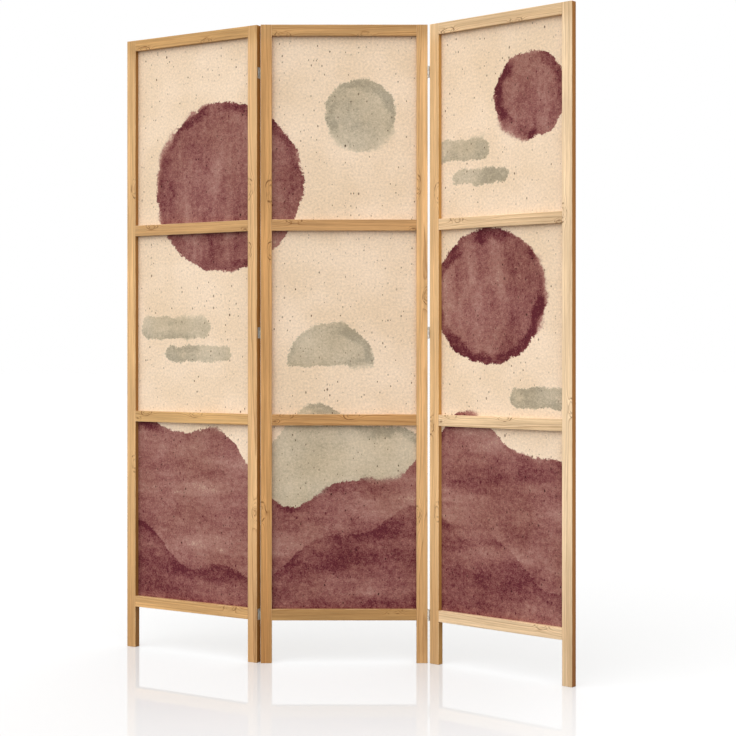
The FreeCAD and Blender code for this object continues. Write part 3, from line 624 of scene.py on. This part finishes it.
def stretch_canvas(panel, first, faces):
    """Makes a panel's canvas where its solid is. first is where the panel starts on the print, in metres."""
    node = panel + "_canvas"
    low, high = panel_box(node, panel)
    width, height = high.x - low.x, high.z - low.z
    cloth = bmesh.new()
    columns, rows = CANVAS_CELLS
    bmesh.ops.create_grid(cloth, x_segments=columns, y_segments=rows, size=0.5)
    bmesh.ops.scale(cloth, vec=(width, height, 1), verts=cloth.verts)
    bmesh.ops.rotate(cloth, matrix=Matrix.Rotation(math.radians(90), 3, "X"), verts=cloth.verts)
    bmesh.ops.translate(
        cloth, vec=((low.x + high.x) / 2, low.y + CANVAS_INSET, (low.z + high.z) / 2), verts=cloth.verts)
    for corner in cloth.verts:
        corner.co.y += slack(corner.co.x, corner.co.z, first)
    bmesh.ops.solidify(cloth, geom=cloth.faces[:], thickness=high.y - low.y - 2 * CANVAS_INSET)
    bmesh.ops.recalc_face_normals(cloth, faces=cloth.faces)
    uv = cloth.loops.layers.uv.new("Print")
    layers = {name: cloth.verts.layers.float.new(name) for name in PRINT_LAYERS}
    for corner in cloth.verts:
        for name, far in PRINT_LAYERS.items():
            corner[layers[name]] = far((corner.co.x + first) * 1000, corner.co.z * 1000)
    for face in cloth.faces:
        face.smooth = True
        face.material_index = 0 if face.normal.y < -0.5 else 1
        for loop in face.loops:
            loop[uv].uv = (loop.vert.co.x + first, loop.vert.co.z)
    bmesh.ops.transform(cloth, matrix=panel_place(panel), verts=cloth.verts)
    mesh = bpy.data.meshes.new(panel + "_printed_canvas")
    cloth.to_mesh(mesh)
    cloth.free()
    for face_finish in faces:
        mesh.materials.append(face_finish)
    piece = bpy.data.objects.new(panel + "_printed_canvas", mesh)
    bpy.context.scene.collection.objects.link(piece)
    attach(piece, panel)
    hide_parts(node)


canvas_faces = (printed_canvas(), canvas_back())
for place_in_row, panel in enumerate(PANELS):
    stretch_canvas(panel, place_in_row * PANEL_WIDTH, canvas_faces)


# The stage: a wide white floor with a faint gloss, under four soft studio lights: overhead, in front, to the
# left and behind. A light is (level, turn to the left, rise, narrowness), with its angles in degrees. The
# gloss's fade is (near place, far place, near level, far level).
FLOOR_HALF = 40.0
FLOOR_PAINT = 0.50
FLOOR_BOUNCE = 0.15
FLOOR_LIFT = 0.32
GLOSS_IOR = 1.38
GLOSS_ROUGHNESS = 0.03
GLOSS_FADE = (-0.85, 0.15, 0.42, 1.0)
SKY_LEVEL = 0.07
STUDIO_LIGHTS = [(2.0, 0, 90, 4), (1.71, 11, 23, 2), (1.26, 65, 25, 6), (2.8, 195, 12, 7)]


def seen(finish):
    """1 for what the camera, a gloss or a glass sees, 0 for the light on the object."""
    path = finish.node("LightPath")
    ray = finish.math("ADD", path.outputs["Is Camera Ray"], path.outputs["Is Glossy Ray"], clamp=True)
    return finish.math("ADD", ray, path.outputs["Is Transmission Ray"], clamp=True)


def white_floor():
    finish = new_finish("white_floor")
    place = finish.node("SeparateXYZ", {"Vector": finish.node("TexCoord").outputs["Object"]})
    view = seen(finish)
    tone = finish.mix(view, [FLOOR_BOUNCE] * 3 + [1], [FLOOR_PAINT] * 3 + [1])
    paint = finish.node("BsdfDiffuse", {"Color": tone})
    lift = finish.node("Emission", {"Strength": finish.math("MULTIPLY", view, FLOOR_LIFT)})
    lit = finish.node("AddShader")
    finish.feed(lit.inputs[0], paint.outputs[0])
    finish.feed(lit.inputs[1], lift.outputs[0])
    mirror = finish.node("BsdfGlossy", {"Color": (1.0, 1.0, 1.0, 1.0), "Roughness": GLOSS_ROUGHNESS})
    sheen = finish.node("Fresnel", {"IOR": GLOSS_IOR}).outputs[0]
    gloss = finish.math("MULTIPLY", sheen, finish.span(place.outputs[1], *GLOSS_FADE))
    both = finish.node("MixShader", {0: gloss})
    finish.feed(both.inputs[1], lit.outputs[0])
    finish.feed(both.inputs[2], mirror.outputs[0])
    finish.node("OutputMaterial", {"Surface": both.outputs[0]})
    return finish.owner


def studio_sky():
    finish = Finish(bpy.data.worlds.new("studio_sky"))
    towards = finish.node("TexCoord").outputs["Generated"]
    light = SKY_LEVEL
    for level, turn, rise, narrowness in STUDIO_LIGHTS:
        turn, rise = math.radians(turn), math.radians(rise)
        aim = (-math.cos(rise) * math.sin(turn), -math.cos(rise) * math.cos(turn), math.sin(rise))
        facing = finish.node("VectorMath", {0: towards, 1: aim}, operation="DOT_PRODUCT").outputs["Value"]
        facing = finish.math("POWER", finish.math("MAXIMUM", facing, 0.0), narrowness)
        light = finish.math("MULTIPLY_ADD", facing, level, light)
    view = seen(finish)
    strength = finish.math("MULTIPLY_ADD", light, finish.math("SUBTRACT", 1.0, view), view)
    glow = finish.node("Background", {"Color": (1.0, 1.0, 1.0, 1.0), "Strength": strength})
    finish.node("OutputWorld", {"Surface": glow.outputs[0]})
    return finish.owner


ground = bmesh.new()
bmesh.ops.create_grid(ground, x_segments=1, y_segments=1, size=FLOOR_HALF)
floor_mesh = bpy.data.meshes.new("floor")
ground.to_mesh(floor_mesh)
ground.free()
floor_mesh.materials.append(white_floor())
floor = bpy.data.objects.new("floor", floor_mesh)
bpy.context.scene.collection.objects.link(floor)
bpy.context.scene.world = studio_sky()

# The camera looks straight along the row, level, with the frame moved down to take in the floor.
eye = bpy.data.cameras.new("camera")
eye.sensor_width = 36.0
eye.lens = 74.89
eye.shift_y = -0.0340
camera = bpy.data.objects.new("camera", eye)
camera.location = (0.0815, -4.1024, 0.8624)
camera.rotation_euler = (math.radians(90), 0, 0)
bpy.context.scene.collection.objects.link(camera)
bpy.context.scene.camera = camera
bpy.context.scene.view_settings.view_transform = "Standard"
